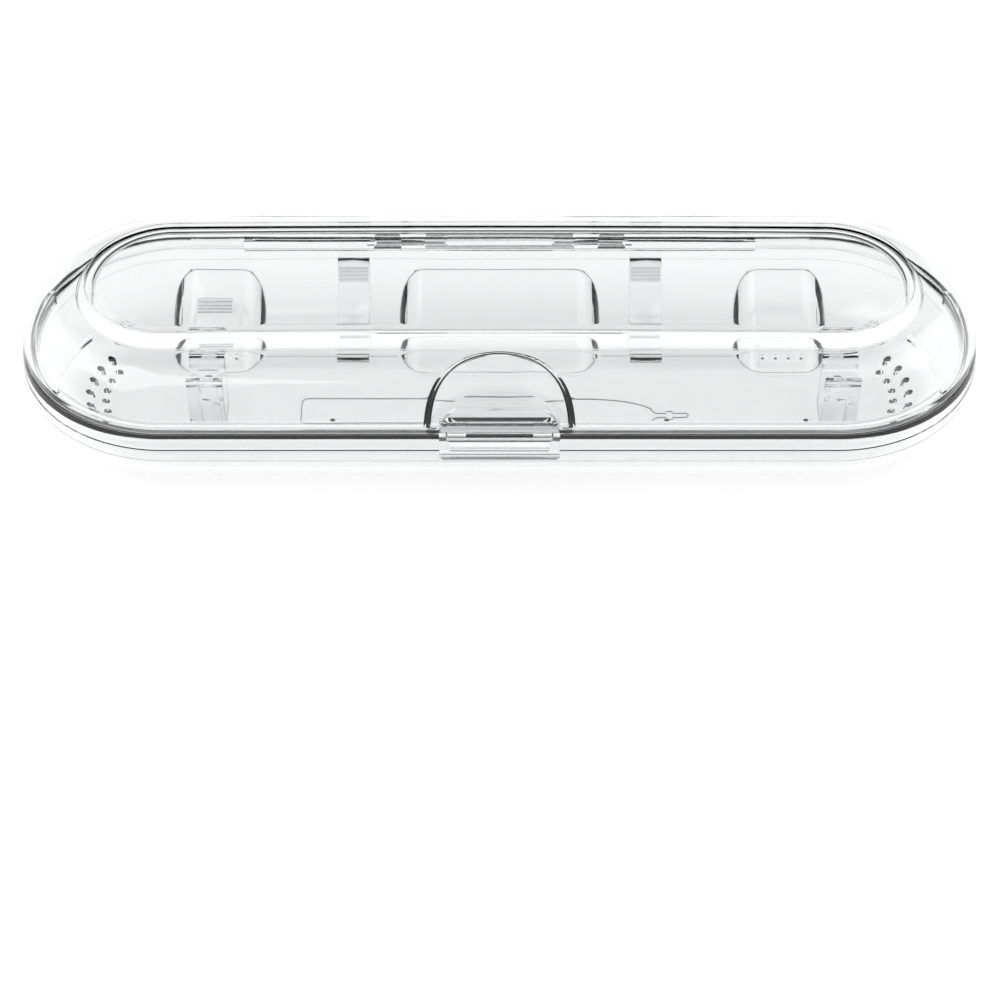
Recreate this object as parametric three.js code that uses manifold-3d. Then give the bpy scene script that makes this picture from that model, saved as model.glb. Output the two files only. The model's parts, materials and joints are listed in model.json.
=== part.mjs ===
// Clear hinged toothbrush case: a stadium-shaped tray, a domed lid on a two-pin hinge, a rocking
// front clasp on its own pin, two brush-head clips and two handle rests. Millimetres, +Z up.
// Origin: centre of the flat underside. +X along the length, -Y towards the clasp.
import * as THREE from 'three';
import { mergeVertices } from 'three/addons/utils/BufferGeometryUtils.js';
import Module from 'manifold-3d';

const wasm = await Module();
wasm.setup();

// ---- driving dimensions -------------------------------------------------------------------
const LENGTH = 220;
const RIM_R = 35; // half the width at the widest line
const HALF_STRAIGHT = LENGTH / 2 - RIM_R;
const WALL = 1.6;
const GAP = 0.3; // clearance between neighbouring pieces
const ROUND_STEPS = 32; // facets around one end, per full turn

// tray section
const FLOOR_R = 15; // half-width of the flat underside
const RIM_Z = 18.5; // height of the widest line
const SEAM_Z = 22.7; // top of the tray
const BAND_TOP_R = 34.5;
const TRAY_IN_R = 32.6;
const TRAY_IN_TOP_R = 32.4;
const TRAY_LEAD_IN_R = 33.3; // tapered lead-in for the lid's lip

// lid section
const LID_Z = SEAM_Z + GAP;
const LID_R = 34.4;
const LEDGE_R = 20.5; // foot of the raised top
const LEDGE_Z = 35.8;
const TOP_R = 18.9;
const TOP_END_Z = 39.1; // top surface at the two ends
const TOP_MID_Z = 40; // crowned middle
const LIP_R = 32.1;
const LIP_THICK = 0.9;
const LIP_Z = 20.3;
const LIP_BACK_Y = 12; // the locating lip stops short of the hinge

// thumb scoop in the front of the lid
const SCOOP_R = 16;
const SCOOP_Y = -37.9;
const SCOOP_FLOOR_Z = LID_Z + WALL;

// hinge
const HINGE_Y = 34.9;
const HINGE_Z = 20.9;
const BARREL_R = 1.7;
const HINGE_PIN_R = 0.6;
const KNUCKLE_X = [17.5, 23.8, 29.7];
const HINGE_PAD_X = 61; // thickened rail behind the hinge
const HINGE_PAD_Z = 19.2;

// clasp
const CLASP_HALF_W = 13.3;
const CHEEK_IN_X = 11.8;
const CLASP_PIN_Y = -36;
const CLASP_PIN_Z = 26.5;
const CLASP_PIN_R = 1.1;
const CHEEK_R = 2.1;
const LUG_X = [7.4, 11.5];
const CATCH_HALF_W = 11;

// vents and drains
const VENT_R = 0.95;
const VENT_RING = [21.7, 17.9];
const VENT_STEP = THREE.MathUtils.degToRad(12.24);
const DRAIN_R = 0.6;
const DRAIN_X = [39, 71.5];
const DRAIN_Y = -8.3;

// dished flats low in the back wall: inner face runs from DISH_LOW to DISH_HIGH
const DISH_LOW = new THREE.Vector2(9.75, WALL);
const DISH_HIGH = new THREE.Vector2(32.1, 13.6);
const DISHES = [
  { x: -67.4, halfWidth: 5 },
  { x: 0, halfWidth: 18 },
  { x: 67.4, halfWidth: 5 },
];
const DISH_FLANK = new THREE.Vector2(6.2, 6.5); // half-width and depth of the rounded flanks
const PINHOLE_R = 0.4;
const PINHOLE_PITCH = 3.05;
const PINHOLE_ROWS = [{ y: 15.3, count: 5 }, { y: 13.7, count: 4 }]; // in each of the two end dishes

// loose fittings inside
const CLIP_X = 78.5;
const CLIP_LEFT_X = -67.5;
const CLIP_W = 8.2;
const CLIP_Y = [-12.4, -2.6];
const CLIP_TOP_Z = 18.6;
const CLIP_WALL = 1.5;
const REST_X = 35;
const REST_W = 7.6;
const REST_THICK = 2;
const REST_TOP_Z = 16.6;

// ---- helpers ------------------------------------------------------------------------------
const AXIS_X = new THREE.Vector3(1, 0, 0);
const AXIS_Y = new THREE.Vector3(0, 1, 0);
const AXIS_Z = new THREE.Vector3(0, 0, 1);

// A closed three.js geometry becomes a solid that can be joined and cut.
function toSolid(geometry) {
  const bare = new THREE.BufferGeometry();
  bare.setAttribute('position', geometry.getAttribute('position').clone());
  const count = bare.getAttribute('position').count;
  bare.setIndex(geometry.index ? geometry.index.clone() : [...Array(count).keys()]);
  const merged = mergeVertices(bare, 1e-4);
  const index = merged.index.array;
  const keep = [];
  for (let i = 0; i < index.length; i += 3) {
    const [a, b, c] = [index[i], index[i + 1], index[i + 2]];
    if (a !== b && b !== c && c !== a) keep.push(a, b, c);
  }
  const vertProperties = new Float32Array(merged.getAttribute('position').array);
  const build = (tris) => new wasm.Manifold(
    new wasm.Mesh({ numProp: 3, vertProperties, triVerts: new Uint32Array(tris) }));
  const solid = build(keep);
  if (solid.volume() > 0) return solid;
  const flipped = [];
  for (let i = 0; i < keep.length; i += 3) flipped.push(keep[i], keep[i + 2], keep[i + 1]);
  return build(flipped);
}

function toGeometry(solid) {
  const mesh = solid.getMesh();
  const geometry = new THREE.BufferGeometry();
  geometry.setAttribute('position', new THREE.BufferAttribute(new Float32Array(mesh.vertProperties), 3));
  geometry.setIndex(new THREE.BufferAttribute(new Uint32Array(mesh.triVerts), 1));
  geometry.computeVertexNormals();
  return geometry;
}

const joinAll = (solids) => solids.reduce((whole, next) => whole.add(next));

// Extrudes an outline of [u, v] points along w, for three perpendicular directions.
function extrude(points, depth, u, v, w, start) {
  const shape = new THREE.Shape(points.map(([a, b]) => new THREE.Vector2(a, b)));
  const geometry = new THREE.ExtrudeGeometry(shape, { depth, bevelEnabled: false });
  const place = new THREE.Matrix4().makeBasis(u, v, w).setPosition(start);
  return toSolid(geometry.applyMatrix4(place));
}

// [y, z] outline along x, [x, z] outline along y and [x, y] outline along z
const alongX = (points, x0, x1) => extrude(
  points, x1 - x0, AXIS_Y, AXIS_Z, AXIS_X, new THREE.Vector3(x0, 0, 0));
const alongY = (points, y0, y1) => extrude(
  points, y1 - y0, AXIS_X, AXIS_Z, AXIS_Y.clone().negate(), new THREE.Vector3(0, y1, 0));
const boxSolid = (x0, x1, y0, y1, z0, z1) => alongX([[y0, z0], [y1, z0], [y1, z1], [y0, z1]], x0, x1);

// A cylinder along x through (y, z), or along z through (x, y)
function rodX(radius, x0, x1, y, z, sides) {
  const geometry = new THREE.CylinderGeometry(radius, radius, x1 - x0, sides);
  geometry.rotateZ(Math.PI / 2).translate((x0 + x1) / 2, y, z);
  return toSolid(geometry);
}
function rodZ(radius, x, y, z0, z1, sides) {
  const geometry = new THREE.CylinderGeometry(radius, radius, z1 - z0, sides);
  geometry.rotateX(Math.PI / 2).translate(x, y, (z0 + z1) / 2);
  return toSolid(geometry);
}

// Points of an ellipse quarter or any part of it, angles in degrees from the +r direction
function arc(centreR, centreZ, radiusR, radiusZ, from, to, steps) {
  return Array.from({ length: steps + 1 }, (_, i) => {
    const angle = THREE.MathUtils.degToRad(from + ((to - from) * i) / steps);
    return [centreR + radiusR * Math.cos(angle), centreZ + radiusZ * Math.sin(angle)];
  });
}

// The stadium solid swept by a half-section that starts and ends on the axis
function stadium(section) {
  const outline = section.map(([r, z]) => new THREE.Vector2(r, z));
  const ends = [-1, 1].map((side) => {
    const turned = new THREE.LatheGeometry(outline, ROUND_STEPS);
    turned.rotateX(Math.PI / 2).translate(side * HALF_STRAIGHT, 0, 0);
    return toSolid(turned);
  });
  const mirrored = section.filter(([r]) => r > 0).map(([r, z]) => [-r, z]).reverse();
  const middle = alongX([...section, ...mirrored], -HALF_STRAIGHT, HALF_STRAIGHT);
  return joinAll([...ends, middle]);
}

// ---- materials ----------------------------------------------------------------------------
const clear = (name, tint) => new THREE.MeshStandardMaterial({
  name, color: tint, roughness: 0.08, metalness: 0, transparent: true, opacity: 0.35,
});
const clearPlastic = clear('clear_plastic', 0xf2f5f6);
const clearInsert = clear('clear_insert', 0xe6eaec);
const steel = new THREE.MeshStandardMaterial({ name: 'steel', color: 0xc8cacc, roughness: 0.25, metalness: 1 });

// ---- tray ---------------------------------------------------------------------------------
const dishRun = DISH_HIGH.clone().sub(DISH_LOW).normalize();
const dishOut = new THREE.Vector2(dishRun.y, -dishRun.x); // points out through the wall

// Everything outside one dished flat: a drafted prism lying along the slope
function dishCutter({ x, halfWidth }, inset) {
  const depth = 12;
  const [run, rise] = [DISH_FLANK.x - inset, DISH_FLANK.y - inset];
  const outline = [
    [halfWidth + run, depth],
    [-halfWidth - run, depth],
    ...arc(-halfWidth, DISH_FLANK.y, run, rise, 180, 270, 4),
    ...arc(halfWidth, DISH_FLANK.y, run, rise, 270, 360, 4),
  ];
  const u = AXIS_X;
  const v = new THREE.Vector3(0, dishOut.x, dishOut.y);
  const w = new THREE.Vector3(0, dishRun.x, dishRun.y);
  const start = new THREE.Vector3(x, DISH_LOW.x, DISH_LOW.y).addScaledVector(w, -15);
  return extrude(outline, 60, u, v, w, start);
}

function endVents() {
  const holes = [];
  for (const side of [-1, 1]) {
    for (let i = -3; i <= 3; i += 1) {
      const angle = i * VENT_STEP;
      holes.push([side, VENT_RING[0], angle]);
      if (i < 3) holes.push([side, VENT_RING[1], angle + VENT_STEP / 2]);
    }
  }
  return holes.map(([side, ring, angle]) => rodZ(
    VENT_R, side * (HALF_STRAIGHT + ring * Math.cos(angle)), -ring * Math.sin(angle), -1, 12, 8));
}

// Staggered rows of pinholes, square to the flat of each end dish
function dishPinholes() {
  const slope = (DISH_HIGH.y - DISH_LOW.y) / (DISH_HIGH.x - DISH_LOW.x);
  const tilt = Math.atan(slope);
  return DISHES.filter(({ x }) => x !== 0).flatMap(({ x }) => PINHOLE_ROWS.flatMap(({ y, count }) => (
    Array.from({ length: count }, (_, i) => {
      const geometry = new THREE.CylinderGeometry(PINHOLE_R, PINHOLE_R, 6, 6);
      const z = DISH_LOW.y + slope * (y - DISH_LOW.x);
      geometry.rotateX(Math.PI / 2 + tilt).translate(x + (i - (count - 1) / 2) * PINHOLE_PITCH, y, z);
      return toSolid(geometry);
    }))));
}

function drains() {
  return DRAIN_X.flatMap((x) => [-x, x]).map((x) => rodZ(DRAIN_R, x, DRAIN_Y, -1, 3, 6));
}

const lidKnuckles = [
  [-KNUCKLE_X[2], -KNUCKLE_X[1]],
  [-KNUCKLE_X[0], KNUCKLE_X[0]],
  [KNUCKLE_X[1], KNUCKLE_X[2]],
];
const trayKnuckles = [-1, 1].map((side) =>
  [side * (KNUCKLE_X[0] + GAP), side * (KNUCKLE_X[1] - GAP)].sort((a, b) => a - b));

function hingeBores() {
  return [-1, 1].map((side) => {
    const ends = [side * (KNUCKLE_X[0] - 5), side * (KNUCKLE_X[2] + 2)].sort((a, b) => a - b);
    return rodX(HINGE_PIN_R + GAP, ends[0], ends[1], HINGE_Y, HINGE_Z, 12);
  });
}

function makeTray() {
  const outside = stadium([
    [0, 0],
    ...arc(FLOOR_R, RIM_Z, RIM_R - FLOOR_R, RIM_Z, -90, 0, 8),
    [BAND_TOP_R, SEAM_Z],
    [0, SEAM_Z],
  ]);
  const inside = stadium([
    [0, WALL],
    ...arc(FLOOR_R, RIM_Z, TRAY_IN_R - FLOOR_R, RIM_Z - WALL, -90, 0, 8),
    [TRAY_IN_TOP_R, LIP_Z],
    [TRAY_LEAD_IN_R, SEAM_Z],
    [TRAY_LEAD_IN_R, SEAM_Z + 1],
    [0, SEAM_Z + 1],
  ]);
  const hingePad = boxSolid(-HINGE_PAD_X, HINGE_PAD_X, 31.9, 40, HINGE_PAD_Z, 30);
  const outer = DISHES.reduce((body, dish) => body.subtract(dishCutter(dish, WALL)), outside);
  const hollow = DISHES.reduce((body, dish) => body.subtract(dishCutter(dish, 0)), inside)
    .subtract(hingePad);
  let tray = outer.subtract(hollow);
  for (const [x0, x1] of lidKnuckles) {
    tray = tray.subtract(rodX(BARREL_R + 0.35, x0 - GAP, x1 + GAP, HINGE_Y, HINGE_Z, 16));
    tray = tray.subtract(boxSolid(x0 - GAP, x1 + GAP, 33, 38, HINGE_Z, 24));
  }
  const knuckle = [[33.5, 18.9], [35, 18.7], [36.3, 20], [36.3, 21.5], [34.9, 22.5], [33.5, 22.5]];
  for (const [x0, x1] of trayKnuckles) {
    tray = tray.add(rodX(BARREL_R, x0, x1, HINGE_Y, HINGE_Z, 16)).add(alongX(knuckle, x0, x1));
  }
  const catchRidge = [[-34.2, 19.6], [-34.2, 21.8], [-35.9, 20.5], [-35.9, 19.6]].reverse();
  tray = tray.add(alongX(catchRidge, -CATCH_HALF_W, CATCH_HALF_W));
  for (const hole of [...endVents(), ...dishPinholes(), ...drains(), ...hingeBores()]) tray = tray.subtract(hole);
  return tray;
}

// ---- lid ----------------------------------------------------------------------------------
function lidLip() {
  const ring = stadium([[0, LIP_Z], [LIP_R, LIP_Z], [LIP_R, LID_Z + 0.1], [0, LID_Z + 0.1]])
    .add(stadium([[0, LID_Z], [LIP_R + 1, LID_Z], [LIP_R + 1, LID_Z + 1.2], [0, LID_Z + 1.2]]));
  const inner = LIP_R - LIP_THICK;
  return ring
    .subtract(stadium([[0, LIP_Z - 1], [inner, LIP_Z - 1], [inner, LID_Z + 3], [0, LID_Z + 3]]))
    .subtract(boxSolid(-LENGTH, LENGTH, LIP_BACK_Y, 60, 0, 60));
}

function makeLid() {
  const outside = stadium([
    [0, LID_Z],
    ...arc(LEDGE_R, LID_Z, LID_R - LEDGE_R, LEDGE_Z - LID_Z, 0, 90, 8),
    [TOP_R, TOP_END_Z],
    [TOP_R - 1, TOP_MID_Z + 1],
    [0, TOP_MID_Z + 1],
  ]);
  // the top is crowned along its length: an arc over the raised part
  const crownHalf = HALF_STRAIGHT + TOP_R;
  const rise = TOP_MID_Z - TOP_END_Z;
  const crown = Array.from({ length: 13 }, (_, i) => {
    const x = crownHalf * (1 - (2 * i) / 12);
    return [x, TOP_MID_Z - rise * (x / crownHalf) ** 2];
  });
  const underCrown = alongY([[-150, 0], [150, 0], [150, TOP_END_Z], ...crown, [-150, TOP_END_Z]], -50, 50);
  const inside = stadium([
    [0, LID_Z - 2],
    [LID_R - WALL, LID_Z - 2],
    ...arc(LEDGE_R, LID_Z, LID_R - WALL - LEDGE_R, LEDGE_Z - LID_Z - WALL, 0, 90, 8),
    [18.6, 36], // the ceiling sweeps up into the raised top
    [16, 37.1],
    [12.5, TOP_END_Z - WALL],
    [0, TOP_END_Z - WALL],
  ]);
  const scoop = rodZ(SCOOP_R, 0, SCOOP_Y, SCOOP_FLOOR_Z, 60, 48);
  const scoopSkin = rodZ(SCOOP_R + WALL, 0, SCOOP_Y, 0, 60, 48);
  let lid = outside.intersect(underCrown).subtract(scoop).subtract(inside.subtract(scoopSkin));
  lid = lid.add(lidLip());
  const tab = [[33.35, 21], [36.3, 21], [35.7, 22.5], [34.3, 24.6], [33.3, 24.6]];
  for (const [x0, x1] of lidKnuckles) {
    lid = lid.add(rodX(BARREL_R, x0, x1, HINGE_Y, HINGE_Z, 16)).add(alongX(tab, x0, x1));
  }
  const lug = [[-32.6, 24.2], [-34.2, 23.2], [-35.5, 23.6], [-37.2, 25.4], [-36, 28], [-34.2, 27.6]].reverse();
  for (const side of [-1, 1]) {
    const [x0, x1] = LUG_X.map((x) => side * x).sort((a, b) => a - b);
    lid = lid.add(alongX(lug, x0, x1)).add(rodX(CHEEK_R - 0.1, x0, x1, CLASP_PIN_Y, CLASP_PIN_Z, 16));
  }
  const claspBore = rodX(CLASP_PIN_R + GAP, -20, 20, CLASP_PIN_Y, CLASP_PIN_Z, 12);
  for (const hole of [...hingeBores(), claspBore]) lid = lid.subtract(hole);
  return lid;
}

// ---- clasp --------------------------------------------------------------------------------
function makeClasp() {
  // side section from the hook up to the thumb tab
  const section = [
    [-35.3, 18.2], [-35.3, 19.3], [-36.2, 19.3], [-36.2, 26.3], [-35.8, 27.9], [-34.8, 29.3], [-33.6, 30.2],
    [-34.2, 31], [-35.5, 30.3], [-36.7, 28.8], [-37.5, 26.6], [-37.5, 18.7], [-37.2, 18.2],
  ];
  const plate = alongX(section, -CLASP_HALF_W, CLASP_HALF_W);
  // front outline: square at the hook, well rounded at the tab
  const corner = 5.5;
  const front = [
    [-CLASP_HALF_W, 17],
    [CLASP_HALF_W, 17],
    ...arc(CLASP_HALF_W - corner, 31.1 - corner, corner, corner, 0, 90, 6),
    ...arc(-CLASP_HALF_W + corner, 31.1 - corner, corner, corner, 90, 180, 6),
  ];
  const window = boxSolid(-CHEEK_IN_X, CHEEK_IN_X, -45, -30, 23.7, 28.9);
  let clasp = plate.intersect(alongY(front, -45, -25)).subtract(window);
  for (const side of [-1, 1]) {
    const [x0, x1] = [side * CHEEK_IN_X, side * CLASP_HALF_W].sort((a, b) => a - b);
    clasp = clasp.add(rodX(CHEEK_R, x0, x1, CLASP_PIN_Y, CLASP_PIN_Z, 16));
  }
  return clasp.subtract(rodX(CLASP_PIN_R + GAP, -20, 20, CLASP_PIN_Y, CLASP_PIN_Z, 12));
}

// ---- fittings inside the tray ---------------------------------------------------------------
// A U-shaped spring clip: two prongs with small beads that snap over a brush-head neck
function makeBrushHeadClip(x) {
  const foot = WALL + GAP;
  const [front, back] = CLIP_Y;
  const bead = 0.7;
  const section = [
    [front, foot],
    [back, foot],
    [back, CLIP_TOP_Z],
    [back - CLIP_WALL, CLIP_TOP_Z],
    [back - CLIP_WALL, 16.8],
    [back - CLIP_WALL - bead, 15.6],
    [back - CLIP_WALL, 14.4],
    [back - CLIP_WALL, foot + CLIP_WALL],
    [front + CLIP_WALL, foot + CLIP_WALL],
    [front + CLIP_WALL, 14.4],
    [front + CLIP_WALL + bead, 15.6],
    [front + CLIP_WALL, 16.8],
    [front + CLIP_WALL, CLIP_TOP_Z],
    [front, CLIP_TOP_Z],
  ];
  return alongX(section, x - CLIP_W / 2, x + CLIP_W / 2);
}

// A curved strip against the back wall that keeps the handle off it
function makeHandleRest(x) {
  const outerR = TRAY_IN_R - FLOOR_R - GAP;
  const outerZ = RIM_Z - WALL - GAP;
  const topAngle = -THREE.MathUtils.radToDeg(Math.asin((RIM_Z - REST_TOP_Z) / outerZ));
  const wallSide = arc(FLOOR_R, RIM_Z, outerR, outerZ, -94, topAngle, 9);
  const handleSide = arc(FLOOR_R, RIM_Z, outerR - REST_THICK, outerZ - REST_THICK, -94, topAngle, 9);
  return alongX([...wallSide, ...handleSide.reverse()], x - REST_W / 2, x + REST_W / 2);
}

// ---- assembly -------------------------------------------------------------------------------
const group = new THREE.Group();

function addPiece(name, solid, material) {
  const mesh = new THREE.Mesh(toGeometry(solid), material);
  mesh.name = name;
  group.add(mesh);
}

addPiece('base_tray', makeTray(), clearPlastic);
addPiece('lid_shell', makeLid(), clearPlastic);
addPiece('front_clasp', makeClasp(), clearPlastic);
addPiece('clasp_pin', rodX(CLASP_PIN_R, -13.1, 13.1, CLASP_PIN_Y, CLASP_PIN_Z, 12), steel);
const pinStart = KNUCKLE_X[0] - 4.5;
const pinEnd = KNUCKLE_X[2] - 0.2;
addPiece('hinge_pin_left', rodX(HINGE_PIN_R, -pinEnd, -pinStart, HINGE_Y, HINGE_Z, 12), steel);
addPiece('hinge_pin_right', rodX(HINGE_PIN_R, pinStart, pinEnd, HINGE_Y, HINGE_Z, 12), steel);
addPiece('brush_head_clip_left', makeBrushHeadClip(CLIP_LEFT_X), clearInsert);
addPiece('brush_head_clip_right', makeBrushHeadClip(CLIP_X), clearInsert);
addPiece('handle_rest_left', makeHandleRest(-REST_X), clearInsert);
addPiece('handle_rest_right', makeHandleRest(REST_X), clearInsert);

export default group;
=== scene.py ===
"""Clear hinged toothbrush case: mouldings, clasp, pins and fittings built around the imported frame."""

import json
import math

import bmesh
import bpy
from bpy.props import (
    FloatProperty,
    FloatVectorProperty,
    IntProperty,
    PointerProperty,
)
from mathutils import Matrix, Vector

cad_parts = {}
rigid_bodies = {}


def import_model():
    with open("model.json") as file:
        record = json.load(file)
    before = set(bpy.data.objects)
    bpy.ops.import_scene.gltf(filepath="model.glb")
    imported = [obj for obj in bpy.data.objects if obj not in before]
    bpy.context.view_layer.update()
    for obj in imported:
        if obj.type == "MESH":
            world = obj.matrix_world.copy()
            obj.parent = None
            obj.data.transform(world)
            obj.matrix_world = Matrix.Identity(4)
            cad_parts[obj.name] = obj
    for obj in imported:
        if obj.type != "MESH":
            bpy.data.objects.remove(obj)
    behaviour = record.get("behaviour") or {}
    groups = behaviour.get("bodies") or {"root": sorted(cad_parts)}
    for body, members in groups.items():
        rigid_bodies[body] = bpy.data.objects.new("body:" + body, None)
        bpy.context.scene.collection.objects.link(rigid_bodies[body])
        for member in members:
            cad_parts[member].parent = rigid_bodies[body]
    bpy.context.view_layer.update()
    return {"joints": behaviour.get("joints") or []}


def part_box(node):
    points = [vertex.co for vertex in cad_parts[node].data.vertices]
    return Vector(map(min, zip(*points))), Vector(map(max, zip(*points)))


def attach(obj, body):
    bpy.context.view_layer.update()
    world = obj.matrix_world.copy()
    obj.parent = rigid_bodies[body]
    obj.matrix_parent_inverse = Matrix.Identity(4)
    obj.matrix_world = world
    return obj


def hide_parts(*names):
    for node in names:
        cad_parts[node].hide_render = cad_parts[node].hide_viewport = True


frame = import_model()

bl_info = {
    "name": "Clear Toothbrush Case",
    "version": (1, 0, 0),
    "blender": (4, 5, 0),
    "location": "3D View > Sidebar > Toothbrush Case",
    "description": "Builds a clear hinged toothbrush case and its studio",
    "category": "Object",
}

MM = 0.001  # shapes are worked out in millimetres and stored in metres
NEARLY_STRAIGHT = math.radians(172)  # corners flatter than this are left as they are


def box_mm(node):
    low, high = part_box(node)
    return low / MM, high / MM


TRAY_LOW, TRAY_HIGH = box_mm("base_tray")
LID_HIGH = box_mm("lid_shell")[1]
HINGE = Vector(frame["joints"][0]["pos_m"]) / MM
CLASP_AXIS = Vector(frame["joints"][1]["pos_m"]) / MM

# tray and lid sections
RIM_R = 35.0
HALF_STRAIGHT = (TRAY_HIGH.x - TRAY_LOW.x) / 2 - RIM_R
FLOOR_R = 15.0
RIM_Z = 18.5
SEAM_Z = TRAY_HIGH.z
GAP = 0.3
BAND_TOP_R = 34.5
TRAY_IN_R = 32.6
TRAY_IN_TOP_R = 32.4
TRAY_LEAD_IN_R = 33.3
LID_Z = SEAM_Z + GAP
LID_R = 34.4
LEDGE_R = 20.5
LEDGE_Z = 35.8
TOP_R = 18.9
TOP_END_Z = 39.1
TOP_MID_Z = LID_HIGH.z
LIP_R = 32.1
LIP_THICK = 0.9
LIP_Z = 20.3
LIP_BACK_Y = 12.0
SCOOP_R = 16.0
SCOOP_Y = -37.9
SCOOP_FOOT_X = 14.0
RIB_INSET = 1.6
RIB_THICK = 0.8
RIB_LEAN = 43  # degrees from the case's length
RIB_HALF_W = 0.7
SCOOP_RIM_R = 0.42

# hinge and clasp
BARREL_R = 1.7
HINGE_RAIL_X = 61.0
HINGE_RAIL_Z = 19.2
HINGE_PIN_R = 0.6
LID_KNUCKLES = ((-29.7, -23.8), (-17.5, 17.5), (23.8, 29.7))
TRAY_KNUCKLES = ((-23.5, -17.8), (17.8, 23.5))
CLASP_HALF_W = 13.3
CHEEK_IN_X = 11.8
CHEEK_R = 2.1
CLASP_PIN_R = 1.1
LUG_X = (7.4, 11.5)
CATCH_HALF_W = 11.0

# [y, z] sections drawn out along x
TRAY_WEB = [(33.5, 18.9), (35, 18.7), (36.3, 20), (36.3, 21.5), (34.9, 22.5), (33.5, 22.5)]
LID_WEB = [(33.35, 21), (36.3, 21), (35.7, 22.5), (34.3, 24.6), (33.3, 24.6)]
CATCH_RIDGE = [(-34.2, 19.6), (-35.9, 19.6), (-35.9, 20.5), (-34.2, 21.8)]
CLASP_LUG = [(-32.6, 24.2), (-34.2, 23.2), (-35.5, 23.6), (-37.2, 25.4), (-36, 28), (-34.2, 27.6)]
CLASP_SECTION = [
    (-35.3, 18.2), (-35.3, 19.3), (-36.2, 19.3), (-36.2, 26.3), (-35.8, 27.9), (-34.8, 29.3),
    (-33.6, 30.2), (-34.2, 31), (-35.5, 30.3), (-36.7, 28.8), (-37.5, 26.6), (-37.5, 18.7), (-37.2, 18.2),
]
# a dark bead of painted shade along the bottom edge of the clasp
TOE_SHADE_LINE_R = 0.32
TOE_SHADE_LINE = [(x, -37.3, 18.4) for x in (-12.8, -6, 0, 6, 12.8)]

# vents, drains and dishes
VENT_R = 0.95
VENT_RINGS = (21.7, 17.9)
VENT_STEP = math.radians(12.24)
DRAIN_R = 0.6
DRAIN_X = (39.0, 71.5)
DRAIN_Y = -8.3
DISHES = ((-67.4, 5.0), (0.0, 18.0), (67.4, 5.0))
DISH_FLANK = (6.2, 6.5)
DISH_LOW = (9.75, 1.6)
DISH_HIGH = (32.1, 13.6)
PINHOLE_R = 0.4
PINHOLE_PITCH = 3.05
PINHOLE_ROWS = ((15.3, 5), (13.7, 4))
CLIP_PRONG = 1.5
CLIP_BEAD = 0.7
CLIP_BEAD_LOW_Z, CLIP_BEAD_Z, CLIP_BEAD_TOP_Z = 14.4, 15.6, 16.8
CLIP_NOTCH = [(-1.2, 4.2), (1.2, 4.2), (1.2, 12.4), (-1.2, 12.4)]
GUIDE_RIB = [(-1.1, 3.0), (1.1, 3.0), (0.75, 11.5), (-0.75, 11.5)]
GUIDE_RIB_X = 2.4
WALL_PAD_REACH = (13.2, 17.6)  # its two ends, measured up the dish's slope
WALL_PAD_SHIFT = 0.7
WALL_PAD_THICK = 0.25
REST_THICK = 2
REST_FOOT_TURN = -94  # degrees round the bowl's section, from its level radius
REST_TIP_TURN = 5
REST_CREST = 0.7
MARK_Y = -6.6
MARK_RISE = 0.16
DISH_EDGE_ANGLE = math.radians(12)  # sharper creases than this get a dark bead of painted shade
FLOOR_SHADE_LINE = (17.2, 1.72)  # y and z of the straight beads of painted shade on the floor between the dishes
FLOOR_SHADE_LINE_X = (24.5, 56.0)

# tints of the small greyer pieces, and a dark grey for the toothbrush outline and the painted shade lines
PAD_TINT = (0.84, 0.845, 0.85)
# dark grey: the toothbrush outline, and painted shade along the dish creases, the floor between the dishes
# and the clasp's toe
DARK_LINE_TINT = (0.5, 0.51, 0.52)

# stage: camera, and soft lights as name, place, size and power
CAMERA_PLACE = (0.0001, -0.4599, 0.4344)
CAMERA_DOWN = 45.44  # degrees below the horizon
CAMERA_LENS = 96.3
SOFTBOXES = (
    ("key_softbox", (-0.5, -0.25, 0.95), 0.7, 2.0),
    ("fill_softbox", (0.6, 0.2, 0.9), 0.8, 1.5),
)
FLOOR_R_MM = 1400
FLOOR_SIDES = 144

# surroundings: a white room with one black flag behind and above the case
FLAG_DIRECTION = (0, 0.702, 0.712)
FLAG_ANGLES = (42, 32)  # degrees from its middle where it fades to white, and where it is fully black


# ---- sizes and finishes a user would change -------------------------------------------------


class CaseSizes(bpy.types.PropertyGroup):
    """Sizes of the mouldings."""

    wall: FloatProperty(
        name="Wall", description="Wall thickness of tray and lid", default=1.6 * MM,
        min=0.8 * MM, max=2.4 * MM, unit="LENGTH", precision=5,
    )
    turn_steps: IntProperty(
        name="Turn steps", description="Facets round both ends together", default=128, min=32, max=256,
    )
    mark_width: FloatProperty(
        name="Mark width", description="Line width of the raised toothbrush outline", default=0.3 * MM,
        min=0.1 * MM, max=1 * MM, unit="LENGTH", precision=5,
    )


class CaseFinishes(bpy.types.PropertyGroup):
    """Colours and gloss of the pieces."""

    shell_tint: FloatVectorProperty(
        name="Shell tint", description="Tint of the clear shells", subtype="COLOR", size=3,
        default=(0.985, 0.99, 0.992), min=0, max=1,
    )
    insert_tint: FloatVectorProperty(
        name="Insert tint", description="Tint of the clear fittings", subtype="COLOR", size=3,
        default=(0.97, 0.975, 0.98), min=0, max=1,
    )
    pin_tint: FloatVectorProperty(
        name="Pin tint", description="Colour of the wire pins", subtype="COLOR", size=3,
        default=(0.58, 0.585, 0.59), min=0, max=1,
    )
    floor_tint: FloatVectorProperty(
        name="Floor tint", description="Colour of the studio floor", subtype="COLOR", size=3,
        default=(0.42, 0.42, 0.42), min=0, max=1,
    )
    floor_glow: FloatProperty(
        name="Floor glow", description="Light given off by the translucent light-table floor", default=0.75,
        min=0, max=2,
    )
    gloss: FloatProperty(
        name="Shell roughness", description="Roughness of the polished shells", default=0.02,
        min=0, max=0.3, subtype="FACTOR",
    )


# ---- shader maths ----------------------------------------------------------------------------


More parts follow.
